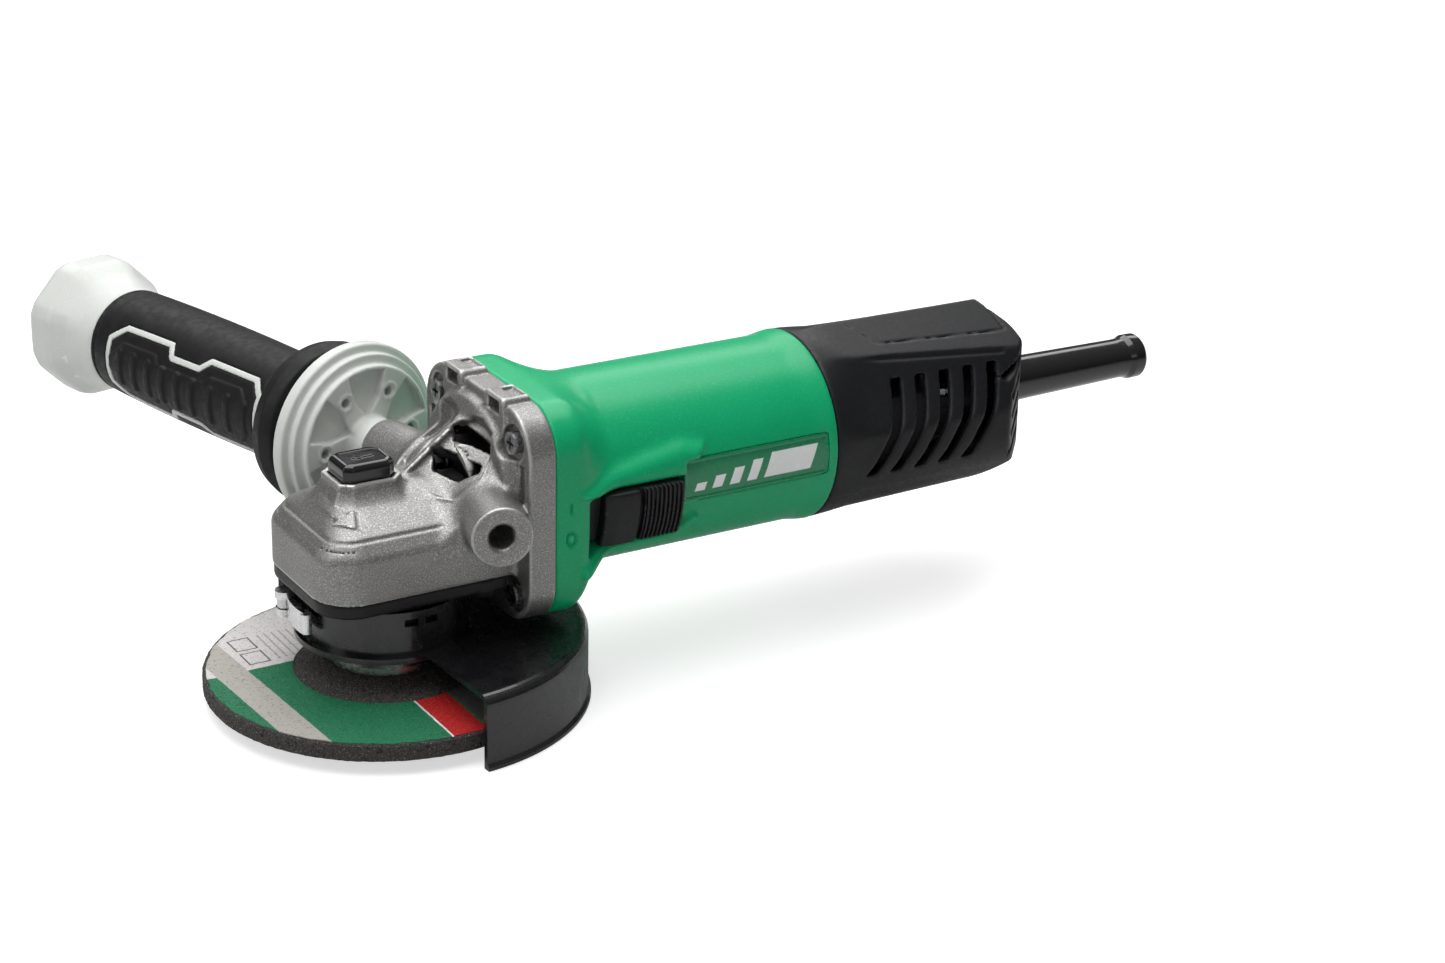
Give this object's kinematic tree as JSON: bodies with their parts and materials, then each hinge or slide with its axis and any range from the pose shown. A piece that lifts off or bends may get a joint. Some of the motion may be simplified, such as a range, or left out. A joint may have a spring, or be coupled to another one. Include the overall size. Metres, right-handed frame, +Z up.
{
  "type": "angle grinder",
  "caption": "Corded angle grinder with a depressed-centre wheel, adjustable guard, slide switch, spindle lock and anti-vibration side handle.",
  "frame": {"origin": "on the spindle axis, at the free end of the spindle's thread", "axes": "+Z up along the spindle from the wheel to the gear head, +X along the motor axis towards the cord guard, +Y towards the side handle"},
  "size_m": [0.3809, 0.305, 0.1082],
  "materials": {
    "cast_metal": "satin, sand-cast grain",
    "green_plastic": "fine moulded grain",
    "black_plastic": "fine moulded grain",
    "black_casting": "satin black",
    "black_sheet": "satin black powder coat",
    "gloss_rubber": "glossy",
    "soft_rubber": "matt",
    "pale_plastic": "satin",
    "plate_print": "printed plate",
    "steel": "machined",
    "bearing_steel": "polished",
    "lever_steel": "zinc plated",
    "screw_steel": "zinc plated",
    "bronze": "sintered",
    "lamination": "stacked sheet",
    "copper": "enamelled wire",
    "carbon": "pressed carbon",
    "circuit_board": "potted board",
    "abrasive": "coarse abrasive grain in resin",
    "wheel_print": "printed paper on abrasive"
  },
  "bodies": {
    "housing": {"gear_case": "cast_metal", "gear_case_screws": "screw_steel", "packing_gland": "black_casting", "gland_screws": "screw_steel", "bearing_retainer": "steel", "dust_seal": "soft_rubber", "spindle_bearing_outer": "bearing_steel", "bearing_balls": "bearing_steel", "top_bush": "bronze", "inner_cover": "cast_metal", "front_bearing_outer": "bearing_steel", "motor_housing": "green_plastic", "name_plate": "plate_print", "fan_guide": "black_plastic", "stator_core": "lamination", "stator_coils": "copper", "stator_screws": "screw_steel", "brush_holders": "bronze", "carbon_brushes": "carbon", "brush_springs": "steel", "rear_bearing_outer": "bearing_steel", "rear_bearing_sleeve": "soft_rubber", "switch_body": "black_plastic", "control_board": "circuit_board", "tail_cover": "black_plastic", "tail_screws": "screw_steel", "cord_guard": "gloss_rubber", "cord_clip": "black_plastic", "lock_spring": "steel", "handle_flange": "pale_plastic", "handle_bolt": "steel", "handle_boot": "soft_rubber"},
    "spindle": {"spindle": "steel", "bevel_gear": "steel", "gear_key": "steel", "spindle_bearing_inner": "bearing_steel", "inner_flange": "steel", "grinding_wheel": "abrasive", "wheel_bushing": "steel", "wheel_label": "wheel_print", "wheel_nut": "steel"},
    "armature": {"armature_shaft": "steel", "rotor_core": "lamination", "rotor_windings": "copper", "commutator": "copper", "cooling_fan": "pale_plastic", "bevel_pinion": "steel", "pinion_nut": "steel", "front_bearing_inner": "bearing_steel", "rear_bearing_inner": "bearing_steel"},
    "lock": {"lock_button": "gloss_rubber", "lock_pin": "steel"},
    "switch": {"switch_knob": "black_plastic", "slide_bar": "steel"},
    "guard": {"wheel_guard": "black_sheet", "guard_clamp_screw": "steel"},
    "lever": {"guard_lever": "lever_steel", "lever_pin": "steel"},
    "grip": {"handle_core": "pale_plastic", "handle_grip": "soft_rubber"}
  },
  "joints": [
    {"name": "spindle_spin", "type": "hinge", "parent": "housing", "child": "spindle", "pos_m": [0, 0, 0.03], "axis": [0, 0, 1], "continuous": true},
    {"name": "armature_spin", "type": "hinge", "parent": "housing", "child": "armature", "pos_m": [0.1, 0, 0.069], "axis": [1, 0, 0], "continuous": true},
    {"name": "lock_press", "type": "slide", "parent": "housing", "child": "lock", "axis": [0, 0, -1], "range_m": [0, 0.0035], "stiffness_N_per_m": 500, "springref_m": -0.003, "deforming": ["lock_spring"]},
    {"name": "switch_slide", "type": "slide", "parent": "housing", "child": "switch", "axis": [-1, 0, 0], "range_m": [0, 0.006]},
    {"name": "guard_turn", "type": "hinge", "parent": "housing", "child": "guard", "pos_m": [0, 0, 0.03], "axis": [0, 0, 1], "range_deg": [-90, 90]},
    {"name": "guard_lever_open", "type": "hinge", "parent": "guard", "child": "lever", "pos_m": [-0.03053, 0.01387, 0.033], "axis": [0, 0, -1], "range_deg": [0, 80]},
    {"name": "handle_flex", "type": "hinge", "parent": "housing", "child": "grip", "pos_m": [0.01357, 0.07678, 0.069], "axis": [0, 0, 1], "range_deg": [-2.5, 2.5], "stiffness_Nm_per_rad": 60}
  ],
  "couplings": [
    {"joint": "armature_spin", "follows": "spindle_spin", "ratio": 3.7}
  ]
}
